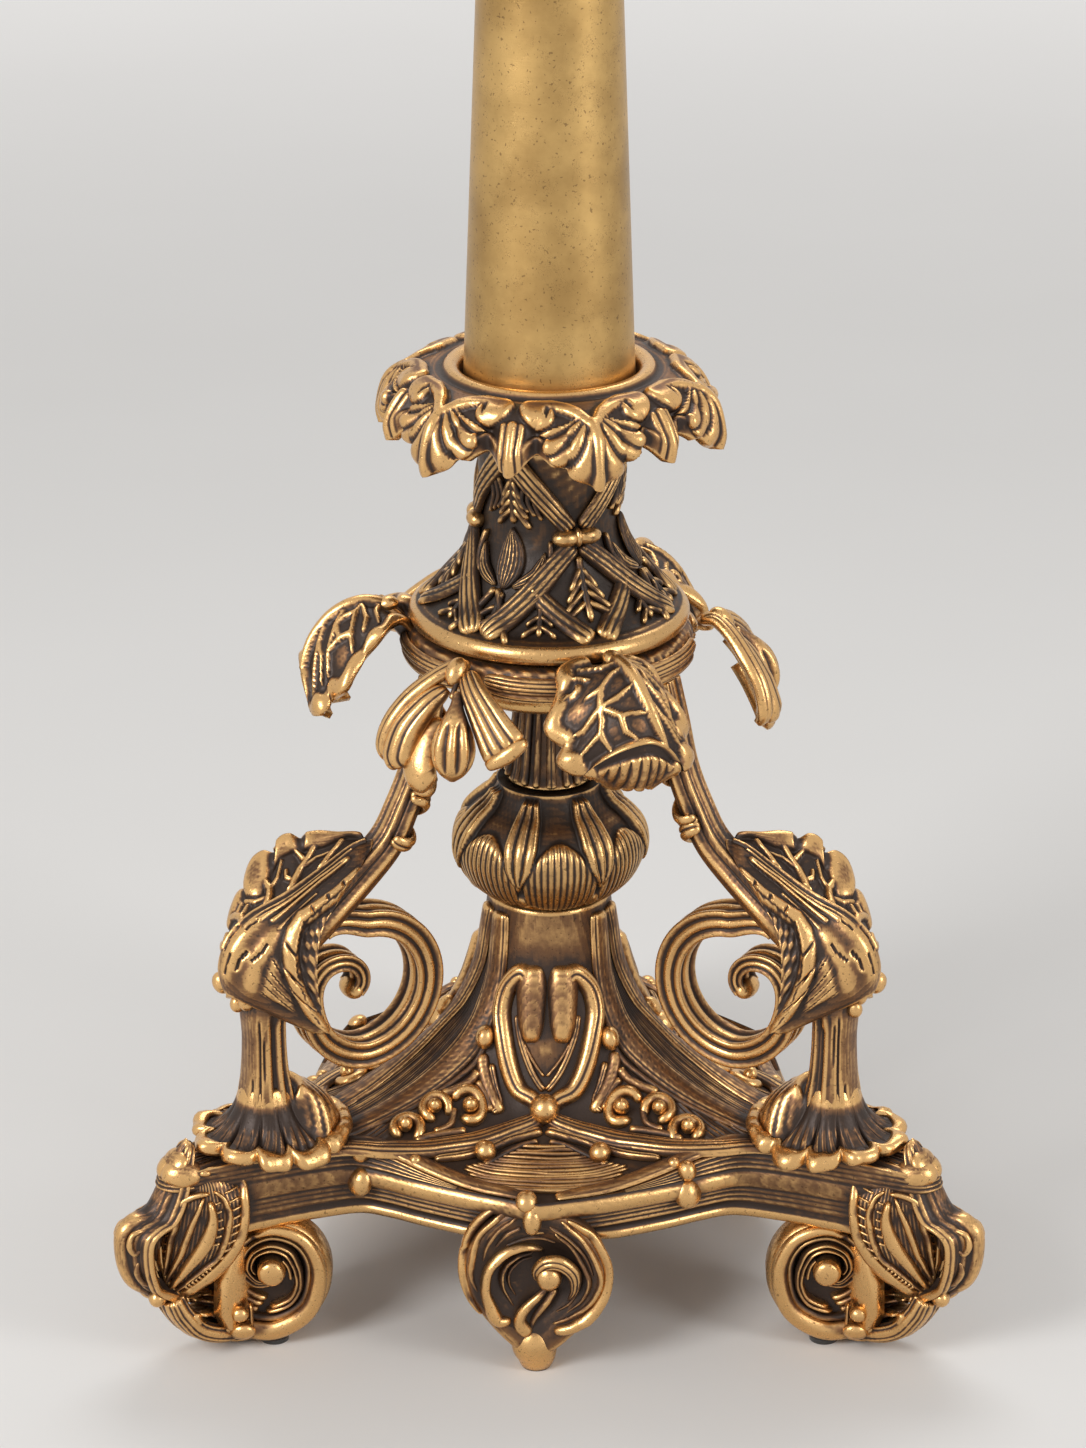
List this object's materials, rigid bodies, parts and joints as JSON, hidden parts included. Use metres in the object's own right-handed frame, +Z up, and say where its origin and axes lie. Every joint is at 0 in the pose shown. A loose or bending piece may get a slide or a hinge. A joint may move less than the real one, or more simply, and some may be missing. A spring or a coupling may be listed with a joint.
{
  "type": "torchere candle stand",
  "caption": "Floor-standing torchere candle stand in patinated cast brass, with a tapered column on a neck, three scrolled legs and a three-armed base.",
  "frame": {"origin": "on the floor, under the column's axis", "axes": "+Z up along the column; -Y towards the side of the base that faces the viewer in the picture, with a cartouche foot in its middle"},
  "size_m": [0.4162, 0.3683, 1.079],
  "materials": {
    "chased_brass": "cast and chased, dark brown patina in the hollows, polished bright on the high points",
    "dark_chased_brass": "cast and chased, mostly dark brown patina with polished ribs",
    "brushed_brass": "satin, worn by hand, fine scratches and mottling",
    "steel": "plain steel rod, nut, washer and screws",
    "felt": "dark felt discs"
  },
  "bodies": {
    "root": {"base_plate": "chased_brass", "corner_foot_1": "chased_brass", "corner_foot_2": "chased_brass", "corner_foot_3": "chased_brass", "side_foot_1": "chased_brass", "side_foot_2": "chased_brass", "side_foot_3": "chased_brass", "leg_1": "chased_brass", "leg_2": "chased_brass", "leg_3": "chased_brass", "leg_scroll_1": "chased_brass", "leg_scroll_2": "chased_brass", "leg_scroll_3": "chased_brass", "knee_leaf_1": "chased_brass", "knee_leaf_2": "chased_brass", "knee_leaf_3": "chased_brass", "foot_leaf_1": "chased_brass", "foot_leaf_2": "chased_brass", "foot_leaf_3": "chased_brass", "ribbon_ring": "chased_brass", "ring_leaf_1": "chased_brass", "ring_leaf_2": "chased_brass", "ring_leaf_3": "chased_brass", "bow_1": "chased_brass", "bow_2": "chased_brass", "bow_3": "chased_brass", "collar": "chased_brass", "stem_disc": "chased_brass", "bulb": "dark_chased_brass", "fluted_stem": "dark_chased_brass", "neck": "dark_chased_brass", "column": "brushed_brass", "column_cap": "brushed_brass", "drip_pan": "brushed_brass", "candle_cup": "brushed_brass", "tie_rod": "steel", "base_washer": "steel", "base_nut": "steel", "foot_screws": "steel", "leg_screws": "steel", "floor_pads": "felt"}
  },
  "joints": []
}
